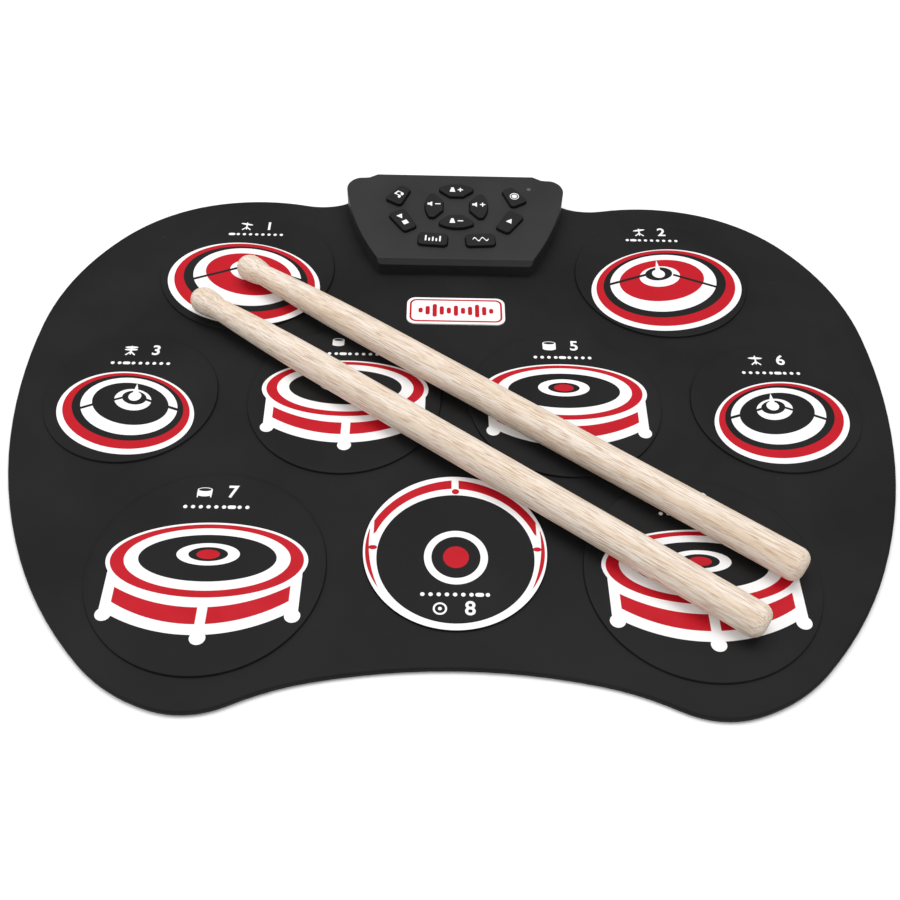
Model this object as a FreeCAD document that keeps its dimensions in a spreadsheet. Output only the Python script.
import FreeCAD, Part
import math
import os

import Sketcher

# A roll-up electronic drum pad: nine raised pads on a soft mat, a slim control
# housing at the rear with ten keys, and a pair of wooden sticks lying on the pads.
# Frame: +X to the player's right, +Y away from the player, +Z up, origin under the
# middle of the whole object, on the surface it lies on. Millimetres.

doc = FreeCAD.newDocument("drum_pad")
sheet = doc.addObject("Spreadsheet::Sheet", "Sizes")

CELLS = {
    # mat, pads and sensors
    "mat_rear": 176.4,
    "bottom_sheet_thickness": 1.2, "top_sheet_thickness": 1.8, "mat_edge_round": 1.0,
    "pad_thickness": 1.2, "pad_edge": 0.5,
    "snare_x": 114.0, "snare_y": -105.5, "snare_radius": 55.0,
    "hihat_x": 168.7, "hihat_y": 0.0, "hihat_radius": 44.7,
    "crash_x": 120.7, "crash_y": 101.1, "crash_radius": 50.3,
    "tom_x": 57.8, "tom_y": 1.2, "tom_radius": 50.7,
    "bass_x": 0.0, "bass_y": -93.2, "bass_radius": 43.4,
    "sensor_share": 0.6, "sensor_thickness": 0.4, "film_thickness": 0.2,
    "film_trunk_width": 12.0, "film_bar_width": 6.0, "pocket_play": 0.3,
    "badge_width": 56.0, "badge_depth": 22.0, "badge_round": 5.0, "badge_thickness": 0.8,
    "badge_y": 69.3,
    # control housing
    "panel_front_y": 103.8, "panel_front_z": 12.5, "panel_tilt": 5.2,
    "housing_front_y": 101.3, "bevel_z": 8.6, "housing_rear_y": 176.1,
    "case_round": 0.6, "shell_wall": 2.0, "tray_inset": 2.0, "lip_inset": 8.0, "window_play": 0.3,
    "rim_wall": 1.5, "boss_radius": 3.0, "cup_radius": 4.0, "screw_radius": 1.0,
    "screw_head_radius": 2.2, "screw_head_height": 1.1, "screw_length": 7.0,
    # boards, measured below the panel's outer face or above the table
    "board_thickness": 1.2, "key_board_depth": 5.4, "keypad_thickness": 0.8,
    "main_board_z": 4.6, "main_board_width": 90.0, "main_board_front": 121.0,
    "main_board_rear": 171.0,
    # keys
    "key_proud": 2.0, "key_root": 3.0, "key_flange": 0.7, "key_flange_reach": 0.9,
    "key_gap": 0.35, "key_round": 0.8, "plunger_radius": 2.0, "plunger_length": 1.3,
    "led_lens_radius": 1.25,
    # sockets in the rear wall
    "jack_width": 6.5, "jack_length": 12.0, "jack_height": 4.6, "jack_bore_radius": 1.8,
    "jack_nose_radius": 2.3, "jack_bore_length": 14.0, "socket_z": 8.1,
    "usb_width": 7.6, "usb_length": 5.2, "usb_height": 2.9, "usb_wall": 0.3,
    "switch_width": 9.0, "switch_depth": 4.6, "switch_height": 4.4, "switch_travel": 3.0,
    "knob_proud": 0.7,
    # sticks
    "stick_length": 349.0, "stick_radius": 8.25, "stick_neck_radius": 5.9,
    "stick_bead_radius": 7.45, "stick_bead_length": 18.7, "stick_taper_end": 105.0,
    "stick_end_round": 5.6, "stick_lift": 0.2,
}
for row, (alias, value) in enumerate(CELLS.items(), start=1):
    sheet.set(f"A{row}", alias)
    sheet.set(f"B{row}", str(value))
    sheet.setAlias(f"B{row}", alias)
doc.recompute()

nodes = {}  # node name -> document object, in the order they are written


def size(alias):
    return float(sheet.get(alias))


def bind(obj, **links):
    for prop, expression in links.items():
        for alias in sorted(CELLS, key=len, reverse=True):
            expression = expression.replace("$" + alias, "Sizes." + alias)
        obj.setExpression(prop, expression)


def keep(name, obj):
    obj.Label = name
    nodes[name] = obj
    return obj


def at(x=0.0, y=0.0, z=0.0, turn=0.0):
    return FreeCAD.Placement(FreeCAD.Vector(x, y, z),
                             FreeCAD.Rotation(FreeCAD.Vector(0, 0, 1), turn))


def vec(x, y, z=0.0):
    return FreeCAD.Vector(x, y, z)


# ---------------------------------------------------------------- building helpers

def new_body(name, placement=None):
    body = doc.addObject("PartDesign::Body", name)
    if placement:
        body.Placement = placement
    return body


def new_sketch(body, name, role="XY_Plane", height=0.0):
    sketch = body.newObject("Sketcher::SketchObject", name)
    plane = next(f for f in body.Origin.OriginFeatures if f.Role == role)
    sketch.AttachmentSupport = [(plane, "")]
    sketch.MapMode = "FlatFace"
    sketch.AttachmentOffset = at(z=height)
    return sketch


def trace(sketch, *wires):
    """Put each edge of the wires into the sketch as a line, a circle or an arc."""
    for wire in wires:
        for edge in wire.Edges:
            curve = edge.Curve
            if isinstance(curve, Part.Line):
                ends = [v.Point for v in edge.Vertexes]
                sketch.addGeometry(Part.LineSegment(*ends), False)
            elif edge.isClosed():
                sketch.addGeometry(curve, False)
            else:
                sketch.addGeometry(Part.Arc(*edge.discretize(3)), False)


def add_pad(body, sketch, **links):
    pad = body.newObject("PartDesign::Pad", sketch.Name + "_pad")
    pad.Profile = sketch
    bind(pad, **links)
    doc.recompute()


def add_pocket(body, sketch, **links):
    pocket = body.newObject("PartDesign::Pocket", sketch.Name + "_pocket")
    pocket.Profile = sketch
    before = body.Shape.Volume
    bind(pocket, **links)
    doc.recompute()
    if not body.Shape.Volume < before - 0.01:
        raise RuntimeError(sketch.Name + " cuts nothing")


def round_edges(body, chosen, **links):
    """Fillet the edges of the body's tip for which chosen(edge) is true."""
    base = body.Tip
    names = [f"Edge{i}" for i, e in enumerate(base.Shape.Edges, start=1) if chosen(e)]
    feature = body.newObject("PartDesign::Fillet", body.Name + "_fillet")
    feature.Base = (base, names)
    bind(feature, **links)
    doc.recompute()


def on_level(height):
    def chosen(edge):
        box = edge.BoundBox
        return abs(box.ZMin - height) < 1e-3 and abs(box.ZMax - height) < 1e-3
    return chosen


def add_box(name, placement, length, width, height):
    box = doc.addObject("Part::Box", name)
    bind(box, Length=length, Width=width, Height=height)
    box.Placement = placement
    return box


def add_cylinder(name, placement, radius, height):
    cylinder = doc.addObject("Part::Cylinder", name)
    bind(cylinder, Radius=radius, Height=height)
    cylinder.Placement = placement
    return cylinder


def join(name, pieces):
    fuse = doc.addObject("Part::MultiFuse", name)
    fuse.Shapes = pieces
    return fuse


def gather(name, pieces):
    group = doc.addObject("Part::Compound", name)
    group.Links = pieces
    return group


def take_away(name, base, tools):
    cut = doc.addObject("Part::Cut", name)
    cut.Base = base
    cut.Tool = tools[0] if len(tools) == 1 else gather(name + "_tools", tools)
    return cut


# ---------------------------------------------------------------- outlines

def tangent_arcs(points, heading):
    """Arcs from point to point, each one leaving in the direction the last arrived in."""
    edges = []
    for start, end in zip(points, points[1:]):
        chord = end.sub(start)
        across = vec(-heading.y, heading.x)
        bow = 2 * chord.dot(across) / chord.dot(chord)
        forward = chord.normalize()
        arrival = forward.multiply(2 * heading.dot(forward)).sub(heading)
        if abs(bow) < 1e-6:
            edges.append(Part.LineSegment(start, end).toShape())
        else:
            centre = start.add(across.multiply(1 / bow))
            middle = start.add(end).multiply(0.5).sub(centre).normalize()
            middle = centre.add(middle.multiply(abs(1 / bow)))
            edges.append(Part.Arc(start, middle, end).toShape())
        heading = arrival
    return edges


def mat_outline():
    """Two wings and two front lobes, a shallow arch between the lobes, a tab behind."""
    tab, rear = 50.0, size("mat_rear")
    side = [
        vec(0, -154.7), vec(62.5, -161), vec(95.5, -172.1), vec(128, -174.7),
        vec(162, -154.5), vec(200.5, -101), vec(224.5, -28), vec(228.3, 54),
        vec(199, 129), vec(150.5, 162), vec(91.5, 163.8), vec(72.7, 164.3),
        vec(63, 170.6), vec(tab, rear),
    ]
    right = tangent_arcs(side, vec(1, 0))
    left = [edge.mirror(vec(0, 0), vec(1, 0)) for edge in right]
    back = Part.LineSegment(vec(tab, rear), vec(-tab, rear)).toShape()
    return Part.Wire(Part.__sortEdges__(right + [back] + left))


def housing_outline(inset=0.0):
    """Plan of the control housing: it widens to the rear, with a raised connector face."""
    front, rear = size("housing_front_y"), size("housing_rear_y")
    shoulder = rear - 4.0
    half = [
        (vec(43, front), None),
        (vec(45.6, front + 2.9), vec(44.9, front + 0.9)),
        (vec(66, rear - 15.6), vec(59.6, rear - 42.1)),
        (vec(56, shoulder), vec(63.3, rear - 6.6)),
        (vec(53, shoulder + 0.5), None),
        (vec(48, rear), None),
    ]
    edges = [Part.LineSegment(vec(-43, front), vec(43, front)).toShape()]
    for side in (1, -1):
        last = vec(side * 43, front)
        for point, middle in half[1:]:
            end = vec(side * point.x, point.y)
            if middle:
                edges.append(Part.Arc(last, vec(side * middle.x, middle.y), end).toShape())
            else:
                edges.append(Part.LineSegment(last, end).toShape())
            last = end
    edges.append(Part.LineSegment(vec(48, rear), vec(-48, rear)).toShape())
    wire = Part.Wire(Part.__sortEdges__(edges))
    return wire.makeOffset2D(-inset) if inset else wire


def rounded_rectangle(length, width, corner, x=0.0, y=0.0, turn=0.0):
    a, b, k = length / 2, width / 2, corner * (1 - math.sqrt(0.5))
    edges = []
    corners = [(a, b), (-a, b), (-a, -b), (a, -b)]
    ends = []
    for cx, cy in corners:
        sx, sy = math.copysign(1, cx), math.copysign(1, cy)
        flat = vec(cx - sx * corner, cy)
        side = vec(cx, cy - sy * corner)
        first, second = (side, flat) if sx * sy > 0 else (flat, side)
        edges.append(Part.Arc(first, vec(cx - sx * k, cy - sy * k), second).toShape())
        ends.append((first, second))
    for this, following in zip(ends, ends[1:] + ends[:1]):
        edges.append(Part.LineSegment(this[1], following[0]).toShape())
    wire = Part.Wire(Part.__sortEdges__(edges))
    wire.Placement = at(x, y, 0, turn)
    return wire


def quarter_key(turn, x, y):
    """One of the four inner keys: a flat side to the middle, a round side outwards."""
    reach, half, waist = 19.0, 10.2, 13.2
    corner = math.sqrt(reach ** 2 - half ** 2)
    points = [vec(-half, corner), vec(-half, waist), vec(-4, 8), vec(4, 8),
              vec(half, waist), vec(half, corner)]
    edges = [Part.LineSegment(a, b).toShape() for a, b in zip(points, points[1:])]
    edges.append(Part.Arc(points[-1], vec(0, reach), points[0]).toShape())
    wire = Part.Wire(Part.__sortEdges__(edges))
    soft = wire.makeOffset2D(-1.0).makeOffset2D(1.0)
    soft.Placement = at(x, y, 0, turn)
    return soft


def wedge_key(length, wide, narrow, x, y, turn):
    """One of the four keys at the sides: it narrows towards the end that turn points to."""
    half, corner = length / 2, 2.2
    points = [vec(-half, -wide / 2), vec(half, -narrow / 2), vec(half, narrow / 2),
              vec(-half, wide / 2)]
    edges = [Part.LineSegment(a, b).toShape() for a, b in zip(points, points[1:] + points[:1])]
    soft = Part.Wire(edges).makeOffset2D(-corner).makeOffset2D(corner)
    soft.Placement = at(x, y, 0, turn)
    return soft


def flat_copy(wire):
    """The wire with its placement worked into its edges."""
    return Part.Wire([edge.copy() for edge in wire.copy().Edges])


# ---------------------------------------------------------------- mat and sensor film

bottom_top = size("bottom_sheet_thickness")
mat_top = bottom_top + size("top_sheet_thickness")

PADS = [
    ("snare_pad", "snare", -1), ("floor_tom_pad", "snare", 1),
    ("hihat_pad", "hihat", -1), ("ride_pad", "hihat", 1),
    ("crash_left_pad", "crash", -1), ("crash_right_pad", "crash", 1),
    ("high_tom_pad", "tom", -1), ("low_tom_pad", "tom", 1),
    ("bass_pad", "bass", 1),
]


def pad_centre(key, side, z=0.0):
    return at(side * size(key + "_x"), size(key + "_y"), z)


film_front, film_rear = -101.0, 118.8
riser_top = 6.8
film_hold = 1.2  # how far the film's tongue reaches into its connector
FILM_BARS = [("rear_bar", 96.0, "crash"), ("middle_bar", 1.0, "hihat"), ("front_bar", -99.0, "snare")]


def film_strips(play):
    """The film's trunk and its three cross bars, as flat rectangles grown by play."""
    trunk = size("film_trunk_width") / 2 + play
    bar = size("film_bar_width") / 2 + play
    strips = [(-trunk, film_front - play, trunk, film_rear + play)]
    for _, y, key in FILM_BARS:
        reach = size(key + "_x") + play
        strips.append((-reach, y - bar, reach, y + bar))
    return strips


def strip_tool(name, z, thickness, play):
    boxes = []
    for i, (x0, y0, x1, y1) in enumerate(film_strips(play)):
        box = doc.addObject("Part::Box", f"{name}_{i}")
        box.Length, box.Width, box.Height = x1 - x0, y1 - y0, thickness
        box.Placement = at(x0, y0, z)
        boxes.append(box)
    return join(name, boxes)


def make_mat():
    lower = new_body("mat_bottom_sheet")
    outline = new_sketch(lower, "bottom_outline")
    trace(outline, mat_outline())
    add_pad(lower, outline, Length="$bottom_sheet_thickness")
    window = new_sketch(lower, "bottom_window", height=bottom_top)
    trace(window, housing_outline(size("tray_inset") - size("window_play")))
    add_pocket(lower, window, Length="$bottom_sheet_thickness")
    keep("mat_bottom_sheet", lower)

    upper = new_body("mat_top_blank", at(z=bottom_top))
    outline = new_sketch(upper, "top_outline")
    trace(outline, mat_outline())
    add_pad(upper, outline, Length="$top_sheet_thickness")
    round_edges(upper, on_level(size("top_sheet_thickness")), Radius="$mat_edge_round")
    window = new_sketch(upper, "top_window", height=size("top_sheet_thickness"))
    trace(window, housing_outline(size("lip_inset")))
    add_pocket(upper, window, Length="$top_sheet_thickness")
    play = size("pocket_play")
    depth = size("film_thickness") + 0.05
    tools = [strip_tool("film_channel", bottom_top, depth, play)]
    for name, key, side in PADS:
        tools.append(add_cylinder(name + "_pocket", pad_centre(key, side, bottom_top),
                                  f"$sensor_share * ${key}_radius + $pocket_play",
                                  "$film_thickness + $sensor_thickness + 0.05"))
    keep("mat_top_sheet", take_away("mat_top_cut", upper, tools))


def make_pads():
    for name, key, side in PADS:
        body = new_body(name, pad_centre(key, side, mat_top))
        circle = new_sketch(body, name + "_circle")
        circle.addGeometry(Part.Circle(vec(0, 0), vec(0, 0, 1), size(key + "_radius")), False)
        circle.addConstraint(Sketcher.Constraint("Radius", 0, size(key + "_radius")))
        bind(circle, **{"Constraints[0]": f"${key}_radius"})
        add_pad(body, circle, Length="$pad_thickness")
        round_edges(body, on_level(size("pad_thickness")), Radius="$pad_edge")
        keep(name, body)
    for name, key, side in PADS:
        z = bottom_top + size("film_thickness")
        sensor = add_cylinder(name + "_sensor_disc", pad_centre(key, side, z),
                              f"$sensor_share * ${key}_radius", "$sensor_thickness")
        keep(name.replace("_pad", "_sensor"), sensor)


def make_film():
    flat = strip_tool("film_flat", bottom_top, size("film_thickness"), 0.0)
    thin = size("film_thickness")
    half = size("film_trunk_width") / 2
    riser = add_box("film_riser", at(-half, film_rear - thin, bottom_top),
                    "$film_trunk_width", "$film_thickness", f"{riser_top - bottom_top}")
    tongue = add_box("film_tongue", at(-half, film_rear - thin, riser_top - thin),
                     "$film_trunk_width", f"$main_board_front + {film_hold} - {film_rear - thin}",
                     "$film_thickness")
    keep("sensor_film", join("sensor_film_whole", [flat, riser, tongue]))


def make_badge():
    body = new_body("badge_plate", at(0.6, size("badge_y"), mat_top))
    outline = new_sketch(body, "badge_outline")
    trace(outline, rounded_rectangle(size("badge_width"), size("badge_depth"),
                                     size("badge_round")))
    add_pad(body, outline, Length="$badge_thickness")
    keep("badge_plate", body)


# ---------------------------------------------------------------- control housing

tilt = size("panel_tilt")
slope = math.tan(math.radians(tilt))
panel = FreeCAD.Placement(vec(0, size("panel_front_y"), size("panel_front_z")),
                          FreeCAD.Rotation(vec(1, 0, 0), tilt))
CASE_SCREWS = [(-36.0, 114.2), (36.0, 114.2), (-52.5, 158.0), (52.5, 158.0)]
KEY_BOARD_SCREWS = [(-27.0, 8.0), (27.0, 8.0), (-23.0, 47.0), (23.0, 47.0)]
MAIN_BOARD_SCREWS = [(-41.0, 125.0), (41.0, 125.0), (-41.0, 150.0), (41.0, 150.0)]
JACKS = [("kick_pedal_jack", -38.0), ("hihat_pedal_jack", -24.0),
         ("line_in_jack", -10.0), ("headphone_jack", 4.0)]
usb_x, switch_x = 20.0, 36.0
led_x, led_v = 45.0, 60.0


def panel_z(y, depth=0.0):
    """Height of the panel's face at y, or of a plane that deep under it."""
    drop = depth / math.cos(math.radians(tilt))
    return size("panel_front_z") + (y - size("panel_front_y")) * slope - drop


def local(x, v, n=0.0):
    """A place given across the panel, up the panel and out of the panel."""
    return panel.multiply(at(x, v, n))


def housing_block(name, inset, depth):
    """A prism of the housing's plan, cut off by a plane below the sloping panel."""
    body = new_body(name, at(z=mat_top))
    plan = new_sketch(body, name + "_plan")
    trace(plan, housing_outline(inset))
    tall = size("panel_front_z") + 12.0
    add_pad(body, plan, Length=f"{tall}")
    side = new_sketch(body, name + "_side", role="YZ_Plane")
    front, rear = size("housing_front_y"), size("housing_rear_y")
    low = size("bevel_z") - mat_top
    corner_y = size("panel_front_y")
    if depth:
        line = [vec(front - 5, panel_z(front - 5, depth) - mat_top)]
    else:
        line = [vec(front - 5, low - 5), vec(corner_y, panel_z(corner_y) - mat_top)]
    line += [vec(rear - 5, panel_z(rear - 5, depth) - mat_top),
             vec(rear + 5, panel_z(rear - 5, depth) - mat_top - 0.6),
             vec(rear + 5, tall + 5), vec(front - 5, tall + 5)]
    for a, b in zip(line, line[1:] + line[:1]):
        side.addGeometry(Part.LineSegment(a, b), False)
    pocket = body.newObject("PartDesign::Pocket", name + "_slope")
    pocket.Profile = side
    pocket.Type = "ThroughAll"
    pocket.Midplane = True
    doc.recompute()
    if not depth:
        round_edges(body, lambda edge: edge.BoundBox.ZMin > low - 0.05, Radius="$case_round")
    return body


def key_table():
    """Each key's name and outline, across and up the panel."""
    x, v = 0.6, 43.0
    table = {
        "tempo_up_key": quarter_key(0, x, v), "volume_down_key": quarter_key(90, x, v),
        "tempo_down_key": quarter_key(180, x, v), "volume_up_key": quarter_key(270, x, v),
    }
    for name, kx, kv, length, wide, narrow, turn in (
            ("demo_key", -34.0, 52.0, 15.5, 11.4, 7.4, 60), ("record_key", 35.2, 52.0, 15.5, 11.4, 7.4, 120),
            ("start_stop_key", -31.0, 30.0, 17.5, 11.0, 8.8, -58),
            ("play_key", 32.2, 30.0, 17.5, 11.0, 8.8, 238)):
        table[name] = wedge_key(length, wide, narrow, kx, kv, turn)
    for name, kx, turn in (("rhythm_key", -13.2, -4), ("style_key", 14.8, 4)):
        table[name] = rounded_rectangle(17.5, 9.8, 2.6, kx, 14.5, turn)
    return {name: flat_copy(wire) for name, wire in table.items()}


KEYS = key_table()


def key_middle(wire):
    box = wire.BoundBox
    return box.Center.x, box.Center.y


def make_keys():
    root, proud = size("key_root"), size("key_proud")
    for name, wire in KEYS.items():
        body = new_body(name, panel)
        flange = new_sketch(body, name + "_flange", height=-root)
        trace(flange, wire.makeOffset2D(size("key_flange_reach")))
        add_pad(body, flange, Length="$key_flange")
        cap = new_sketch(body, name + "_cap", height=-root)
        trace(cap, wire)
        add_pad(body, cap, Length="$key_root + $key_proud")
        plunger = new_sketch(body, name + "_plunger", height=-root - size("plunger_length"))
        x, v = key_middle(wire)
        plunger.addGeometry(Part.Circle(vec(x, v), vec(0, 0, 1), size("plunger_radius")), False)
        plunger.addConstraint(Sketcher.Constraint("Radius", 0, size("plunger_radius")))
        bind(plunger, **{"Constraints[0]": "$plunger_radius"})
        add_pad(body, plunger, Length="$plunger_length + 0.1")
        round_edges(body, on_level(proud), Radius="$key_round")
        keep(name, body)


def make_housing_top():
    outer = housing_block("housing_outer", 0.0, 0.0)
    inner = housing_block("housing_inner", size("shell_wall"), size("shell_wall"))
    shell = take_away("housing_shell", outer, [inner])
    pieces = [shell]
    for i, (x, y) in enumerate(CASE_SCREWS):
        length = panel_z(y, size("shell_wall") / 2) - mat_top
        pieces.append(add_cylinder(f"case_boss_{i}", at(x, y, mat_top), "$boss_radius",
                                   f"{length:.2f}"))
    depth = size("key_board_depth")
    for i, (x, v) in enumerate(KEY_BOARD_SCREWS):
        pieces.append(add_cylinder(f"board_boss_{i}", local(x, v, -depth), "$boss_radius - 0.8",
                                   "$key_board_depth - $shell_wall / 2"))
    solid = join("housing_solid", pieces)

    tools = []
    for name, wire in KEYS.items():
        hole = new_body(name + "_opening", panel)
        sketch = new_sketch(hole, name + "_opening_outline", height=-3.5)
        trace(sketch, wire.makeOffset2D(size("key_gap")))
        add_pad(hole, sketch, Length="6")
        tools.append(hole)
    tools.append(add_cylinder("lens_hole", local(led_x, led_v, -3.0), "$led_lens_radius + 0.05",
                              "6"))
    for i, (x, y) in enumerate(CASE_SCREWS):
        tools.append(add_cylinder(f"case_screw_hole_{i}", at(x, y, mat_top - 0.5),
                                  "$screw_radius + 0.05", "$screw_length"))
    for i, (x, v) in enumerate(KEY_BOARD_SCREWS):
        tools.append(add_cylinder(f"board_screw_hole_{i}", local(x, v, -depth - 0.5),
                                  "$screw_radius * 0.7 + 0.05", "4"))
    rear = size("housing_rear_y")
    turned = FreeCAD.Rotation(vec(1, 0, 0), -90)
    for name, x in JACKS:
        place = FreeCAD.Placement(vec(x, rear - 5, size("socket_z")), turned)
        tools.append(add_cylinder(name + "_hole", place, "$jack_nose_radius + 0.2", "8"))
    low = size("main_board_z") + size("board_thickness")
    tools.append(add_box("usb_hole", at(usb_x - size("usb_width") / 2 - 0.2, rear - 5, low - 0.2),
                         "$usb_width + 0.4", "8", "$usb_height + 0.4"))
    slot = size("switch_travel") + 2.4
    tools.append(add_box("switch_slot", at(switch_x - slot / 2, rear - 5, size("socket_z") - 1.2),
                         "$switch_travel + 2.4", "8", "2.4"))
    keep("housing_top", take_away("housing_top_cut", solid, tools))


def make_housing_bottom():
    body = new_body("tray_blank")
    inset = size("tray_inset")
    plan = new_sketch(body, "tray_plan")
    trace(plan, housing_outline(inset))
    add_pad(body, plan, Length="$bottom_sheet_thickness")
    rim = new_sketch(body, "tray_rim", height=bottom_top)
    lip = size("lip_inset") + size("window_play")
    trace(rim, housing_outline(lip), housing_outline(lip + size("rim_wall")))
    add_pad(body, rim, Length="$top_sheet_thickness - 0.1")
    pieces = [body]
    for i, (x, y) in enumerate(CASE_SCREWS):
        pieces.append(add_cylinder(f"screw_cup_{i}", at(x, y), "$cup_radius",
                                   f"{mat_top - 0.05:.2f}"))
    for i, (x, y) in enumerate(MAIN_BOARD_SCREWS):
        pieces.append(add_cylinder(f"board_post_{i}", at(x, y), "$boss_radius - 0.5",
                                   "$main_board_z"))
    solid = join("tray_solid", pieces)
    tools = []
    for i, (x, y) in enumerate(CASE_SCREWS):
        tools.append(add_cylinder(f"cup_sink_{i}", at(x, y, -1), "$screw_head_radius + 0.3",
                                  "1 + $screw_head_height + 0.4"))
        tools.append(add_cylinder(f"cup_hole_{i}", at(x, y, -1), "$screw_radius + 0.25", "6"))
    for i, (x, y) in enumerate(MAIN_BOARD_SCREWS):
        tools.append(add_cylinder(f"post_hole_{i}", at(x, y, 1.0), "$screw_radius * 0.7 + 0.05",
                                  "5"))
    slot = size("film_trunk_width") / 2 + 1
    front = size("housing_front_y") + size("lip_inset") - 1
    gate = add_box("film_gate", at(-slot, front, bottom_top), "$film_trunk_width + 2",
                   "$rim_wall + 3", "4")
    tools.append(gate)
    keep("housing_bottom", take_away("housing_bottom_cut", solid, tools))


def add_screws(name, places, head_z, head, shank, length, upright=1, frame=at):
    """A set of alike screws: pan head, plain shank; upright 1 has the shank above the head."""
    solids = []
    head_height = size("screw_head_height") * (1.0 if head > 1.8 else 0.8)
    for i, (x, y) in enumerate(places):
        top = frame(x, y, head_z if upright > 0 else head_z - head_height)
        cap = add_cylinder(f"{name}_head_{i}", top, f"{head}", f"{head_height}")
        start = head_z + head_height - 0.05 if upright > 0 else head_z - head_height - length + 0.05
        stem = add_cylinder(f"{name}_shank_{i}", frame(x, y, start), f"{shank}", f"{length}")
        solids.append(join(f"{name}_{i}", [cap, stem]))
    keep(name, gather(name + "_set", solids))


# ---------------------------------------------------------------- electronics

def plate_outline(points):
    ring = [vec(x, y) for x, y in points]
    return Part.Wire([Part.LineSegment(a, b).toShape() for a, b in zip(ring, ring[1:] + ring[:1])])


def key_board_outline(lens_tab):
    right = [(31, 4), (31, 13.5), (43, 13.5), (43, 56)]
    tab = [(48, 56), (48, 64)] if lens_tab else [(43, 64)]
    left = [(-43, 64), (-43, 13.5), (-31, 13.5), (-31, 4)]
    return plate_outline(right + tab + left)


def make_key_boards():
    depth, thick = size("key_board_depth"), size("board_thickness")
    board = new_body("key_board", panel)
    plan = new_sketch(board, "key_board_plan", height=-depth - thick)
    holes = [Part.Wire(Part.Circle(vec(x, v), vec(0, 0, 1), size("screw_radius") * 0.7 + 0.2).toShape())
             for x, v in KEY_BOARD_SCREWS]
    trace(plan, key_board_outline(True), *holes)
    add_pad(board, plan, Length="$board_thickness")
    keep("key_board", board)

    pad = new_body("keypad_sheet", panel)
    plan = new_sketch(pad, "keypad_plan", height=-depth)
    wells = []
    for wire in KEYS.values():
        x, v = key_middle(wire)
        wells.append(Part.Circle(vec(x, v), vec(0, 0, 1), size("plunger_radius") + 0.5))
    for x, v in KEY_BOARD_SCREWS:
        wells.append(Part.Circle(vec(x, v), vec(0, 0, 1), size("boss_radius") - 0.8 + 0.3))
    trace(plan, key_board_outline(False), *[Part.Wire(c.toShape()) for c in wells])
    add_pad(pad, plan, Length="$keypad_thickness")
    keep("keypad_sheet", pad)


def make_main_board():
    width, front, rear = (size("main_board_width"), size("main_board_front"),
                          size("main_board_rear"))
    board = new_body("main_board", at(z=size("main_board_z")))
    plan = new_sketch(board, "main_board_plan")
    holes = [Part.Wire(Part.Circle(vec(x, y), vec(0, 0, 1), size("screw_radius") * 0.7 + 0.2).toShape())
             for x, y in MAIN_BOARD_SCREWS]
    trace(plan, plate_outline([(-width / 2, front), (width / 2, front), (width / 2, rear),
                               (-width / 2, rear)]), *holes)
    add_pad(board, plan, Length="$board_thickness")
    keep("main_board", board)

    top = size("main_board_z") + size("board_thickness")
    for name, x, y, length, depth, height in (
            ("sensor_connector", 0, 124.5, 16.0, 4.6, 1.3), ("processor_chip", 6, 139, 10.0, 10.0, 1.4),
            ("sound_memory_chip", -9, 139, 6.0, 5.0, 1.5), ("amplifier_chip", 22, 150, 5.0, 4.0, 1.5),
            ("crystal_oscillator", 18, 138, 5.0, 3.2, 1.2), ("board_header", -24, 141, 14.0, 2.5, 3.2)):
        keep(name, add_box(name + "_block", at(x - length / 2, y - depth / 2, top),
                           f"{length}", f"{depth}", f"{height}"))
    cans = [add_cylinder(f"capacitor_can_{i}", at(x, 152.5, top), "2.1", "3.4")
            for i, x in enumerate((-6.0, 0.5, 7.0))]
    keep("filter_capacitors", gather("capacitor_set", cans))


def make_sockets():
    rear = size("housing_rear_y")
    top = size("main_board_z") + size("board_thickness")
    wall = 4.2
    turned = FreeCAD.Rotation(vec(1, 0, 0), -90)
    for name, x in JACKS:
        block = add_box(name + "_block", at(x - size("jack_width") / 2,
                                            rear - wall - size("jack_length"), top),
                        "$jack_width", "$jack_length", "$jack_height")
        nose = add_cylinder(name + "_nose", FreeCAD.Placement(
            vec(x, rear - wall - 0.5, size("socket_z")), turned), "$jack_nose_radius",
            f"{wall + 0.5}")
        bore = add_cylinder(name + "_bore", FreeCAD.Placement(
            vec(x, rear - size("jack_bore_length"), size("socket_z")), turned),
            "$jack_bore_radius", "$jack_bore_length + 1")
        keep(name, take_away(name + "_cut", join(name + "_solid", [block, nose]), [bore]))

    width, length, wall = size("usb_width"), size("usb_length"), size("usb_wall")
    shell = add_box("usb_shell", at(usb_x - width / 2, rear - length, top), "$usb_width",
                    "$usb_length", "$usb_height")
    cavity = add_box("usb_cavity", at(usb_x - width / 2 + wall, rear - length + 1, top + wall),
                     "$usb_width - 2 * $usb_wall", "$usb_length", "$usb_height - 2 * $usb_wall")
    tongue = add_box("usb_tongue", at(usb_x - 2.0, rear - length + 0.5,
                                      top + size("usb_height") / 2 - 0.35),
                     "4", "$usb_length - 1.2", "0.7")
    keep("usb_power_inlet", join("usb_whole", [take_away("usb_open", shell, [cavity]), tongue]))


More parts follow.
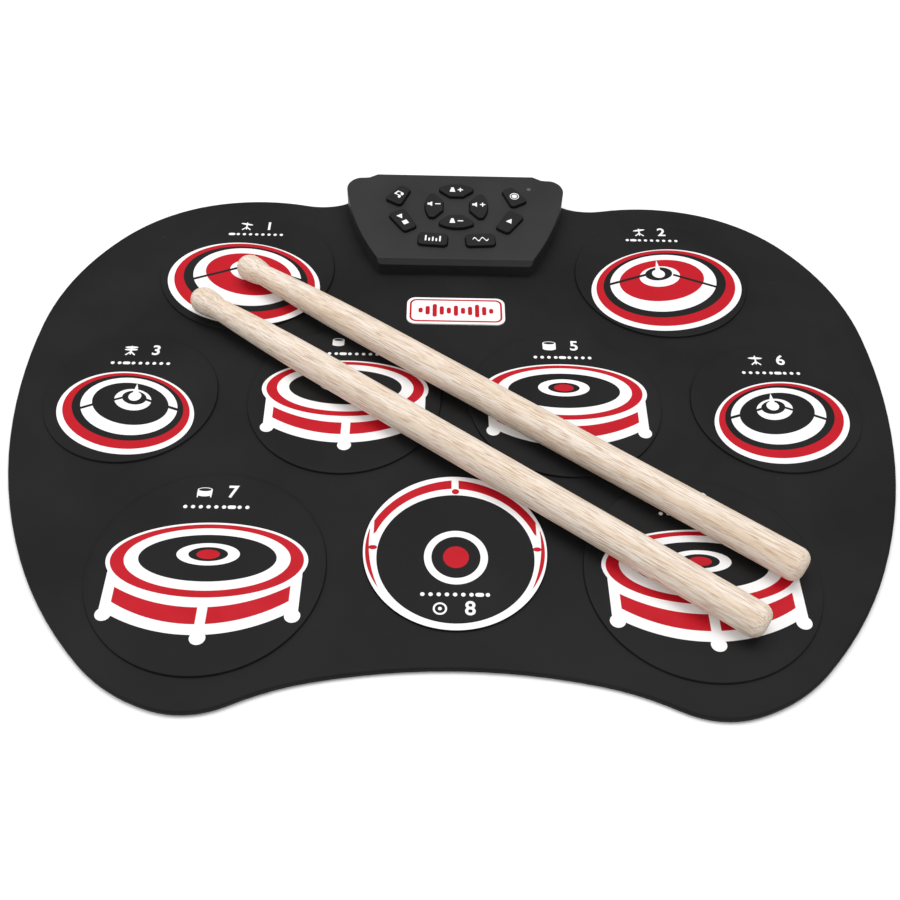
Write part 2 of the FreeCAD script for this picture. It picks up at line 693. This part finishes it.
def make_switch():
    rear = size("housing_rear_y")
    top = size("main_board_z") + size("board_thickness")
    width, depth, travel = size("switch_width"), size("switch_depth"), size("switch_travel")
    back = rear - size("shell_wall") - 0.3
    block = add_box("switch_block", at(switch_x - width / 2, back - depth, top), "$switch_width",
                    "$switch_depth", "$switch_height")
    race = add_box("switch_race", at(switch_x - width / 2 + 1.0, back - 2.6, size("socket_z") - 1.1),
                   "$switch_width - 2", "4", "2.2")
    keep("power_switch_body", take_away("switch_body_cut", block, [race]))
    knob_x = switch_x - travel / 2
    slider = add_box("switch_slider", at(knob_x - 1.6, back - 2.2, size("socket_z") - 0.8),
                     "3.2", "1.9", "1.6")
    finger = add_box("switch_finger", at(knob_x - 0.9, back - 0.4, size("socket_z") - 0.8),
                     "1.8", f"$knob_proud + {rear - back + 0.4:.2f}", "1.6")
    keep("power_switch_knob", join("switch_knob_whole", [slider, finger]))


def make_lamp():
    top = -size("key_board_depth")
    keep("power_led", add_box("led_block", local(led_x - 0.8, led_v - 0.8, top), "1.6",
                              "1.6", "0.8"))
    keep("led_lens", add_cylinder("led_window", local(led_x, led_v, -2.0), "$led_lens_radius",
                                  "2.15"))


# ---------------------------------------------------------------- sticks

def make_stick(name, centre_x, centre_y, heading):
    """A turned stick: bead tip, neck, long taper, straight grip with a rounded end."""
    length, radius = size("stick_length"), size("stick_radius")
    bead, neck, bead_end = (size("stick_bead_radius"), size("stick_neck_radius"),
                            size("stick_bead_length"))
    taper, soft = size("stick_taper_end"), size("stick_end_round")
    height = mat_top + size("pad_thickness") + size("stick_lift") + radius
    placement = at(centre_x, centre_y, height, heading)
    body = new_body(name, placement)
    profile = new_sketch(body, name + "_profile")
    start = -length / 2
    tip = vec(start, 1.0)
    crown = vec(start + bead_end * 0.44, bead)
    waist = vec(start + bead_end, neck)
    full = vec(start + taper, radius)
    end = start + length
    shoulder = vec(end - soft, radius)
    rim = vec(end, radius - soft)
    corner = vec(end - soft * (1 - math.sqrt(0.5)), radius - soft * (1 - math.sqrt(0.5)))
    edges = [
        Part.LineSegment(vec(start, 0), tip),
        Part.Arc(tip, vec(start + 2.3, bead - 2.4), crown),
        Part.Arc(crown, vec(start + bead_end * 0.78, bead - 0.56), waist),
        Part.Arc(waist, vec(start + 52.0, neck + 1.55), full),
        Part.LineSegment(full, shoulder),
        Part.Arc(shoulder, corner, rim),
        Part.LineSegment(rim, vec(end, 0)),
        Part.LineSegment(vec(end, 0), vec(start, 0)),
    ]
    for edge in edges:
        profile.addGeometry(edge, False)
    turning = body.newObject("PartDesign::Revolution", name + "_turning")
    turning.Profile = profile
    turning.ReferenceAxis = (profile, ["H_Axis"])
    turning.Angle = 360.0
    doc.recompute()
    keep(name, body)


make_mat()
make_film()
make_pads()
make_badge()
make_housing_top()
make_housing_bottom()
make_keys()
make_key_boards()
make_main_board()
make_sockets()
make_switch()
make_lamp()
head = size("screw_head_radius")
add_screws("case_screws", CASE_SCREWS, 0.3, head, size("screw_radius"), size("screw_length") - 0.6)
add_screws("main_board_screws", MAIN_BOARD_SCREWS,
           size("main_board_z") + size("board_thickness") + size("screw_head_height") * 0.8,
           1.6, size("screw_radius") * 0.7, 4.0, upright=-1)
add_screws("key_board_screws", KEY_BOARD_SCREWS,
           -size("key_board_depth") - size("board_thickness") - size("screw_head_height") * 0.8,
           1.6, size("screw_radius") * 0.7, 4.0, frame=local)
make_stick("stick_near", -4.7, -34.2, -36.2)
make_stick("stick_far", 17.8, -5.3, -35.9)

doc.recompute()
broken = [o.Name for o in doc.Objects if "Invalid" in o.State or "Error" in o.State]
if broken:
    raise RuntimeError("failed features: " + ", ".join(broken))
for name, obj in nodes.items():
    shape = obj.Shape
    if shape.isNull() or not shape.isValid() or not shape.Solids:
        raise RuntimeError(name + " has no valid solid")

os.makedirs("parts", exist_ok=True)
for name, obj in nodes.items():
    obj.Shape.exportStep(f"parts/{name}.step")
    print(f"{name:22s} solids {len(obj.Shape.Solids)}  volume {obj.Shape.Volume / 1000:9.3f} cm3")
print(len(nodes), "nodes")
